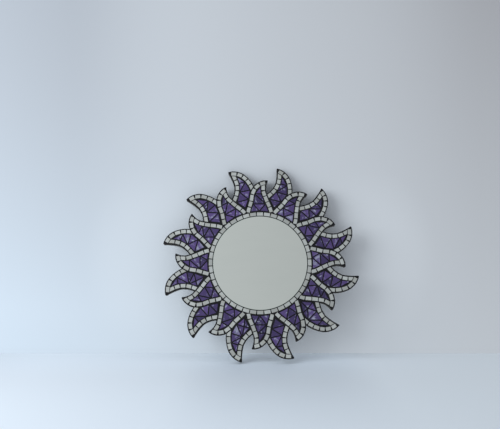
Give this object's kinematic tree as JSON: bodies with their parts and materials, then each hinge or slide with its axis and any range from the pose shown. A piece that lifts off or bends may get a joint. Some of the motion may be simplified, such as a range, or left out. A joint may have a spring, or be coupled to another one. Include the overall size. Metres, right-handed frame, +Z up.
{
  "type": "mosaic sun mirror",
  "caption": "Round wall mirror in a flame-rayed sun frame of cream tile and purple glass mosaic in black cement, with a swinging wire hanger ring at the back.",
  "frame": {"origin": "centre of the sun on the back face of the backing board", "axes": "+Z up as hung, +X to the right as seen from the front, +Y out of the back towards the wall, front faces -Y"},
  "size_m": [0.3942, 0.0156, 0.3932],
  "materials": {
    "cream_tile": "satin glaze",
    "purple_glass": "iridescent stained glass",
    "black_cement": "gritty matt",
    "black_board": "matt black paint",
    "silvered_mirror": "polished",
    "mirror_adhesive": "cured adhesive",
    "zinc_steel": "zinc plated"
  },
  "bodies": {
    "sun": {"backing_board": "black_board", "cement_bed": "black_cement", "hanger_screws": "zinc_steel", "hanger_strap": "zinc_steel", "long_ray_01_border_tiles": "cream_tile", "long_ray_01_glass": "purple_glass", "long_ray_02_border_tiles": "cream_tile", "long_ray_02_glass": "purple_glass", "long_ray_03_border_tiles": "cream_tile", "long_ray_03_glass": "purple_glass", "long_ray_04_border_tiles": "cream_tile", "long_ray_04_glass": "purple_glass", "long_ray_05_border_tiles": "cream_tile", "long_ray_05_glass": "purple_glass", "long_ray_06_border_tiles": "cream_tile", "long_ray_06_glass": "purple_glass", "long_ray_07_border_tiles": "cream_tile", "long_ray_07_glass": "purple_glass", "long_ray_08_border_tiles": "cream_tile", "long_ray_08_glass": "purple_glass", "long_ray_09_border_tiles": "cream_tile", "long_ray_09_glass": "purple_glass", "long_ray_10_border_tiles": "cream_tile", "long_ray_10_glass": "purple_glass", "long_ray_11_border_tiles": "cream_tile", "long_ray_11_glass": "purple_glass", "long_ray_12_border_tiles": "cream_tile", "long_ray_12_glass": "purple_glass", "mirror_glass": "silvered_mirror", "mirror_glue": "mirror_adhesive", "ring_border_tiles": "cream_tile", "short_ray_01_border_tiles": "cream_tile", "short_ray_01_glass": "purple_glass", "short_ray_02_border_tiles": "cream_tile", "short_ray_02_glass": "purple_glass", "short_ray_03_border_tiles": "cream_tile", "short_ray_03_glass": "purple_glass", "short_ray_04_border_tiles": "cream_tile", "short_ray_04_glass": "purple_glass", "short_ray_05_border_tiles": "cream_tile", "short_ray_05_glass": "purple_glass", "short_ray_06_border_tiles": "cream_tile", "short_ray_06_glass": "purple_glass", "short_ray_07_border_tiles": "cream_tile", "short_ray_07_glass": "purple_glass", "short_ray_08_border_tiles": "cream_tile", "short_ray_08_glass": "purple_glass", "short_ray_09_border_tiles": "cream_tile", "short_ray_09_glass": "purple_glass", "short_ray_10_border_tiles": "cream_tile", "short_ray_10_glass": "purple_glass", "short_ray_11_border_tiles": "cream_tile", "short_ray_11_glass": "purple_glass", "short_ray_12_border_tiles": "cream_tile", "short_ray_12_glass": "purple_glass"},
    "ring": {"hanger_ring": "zinc_steel"}
  },
  "joints": [
    {"name": "ring_swing", "type": "hinge", "parent": "sun", "child": "ring", "pos_m": [0, -0.00302, 0.096], "axis": [1, 0, 0], "range_deg": [0, 173]}
  ]
}
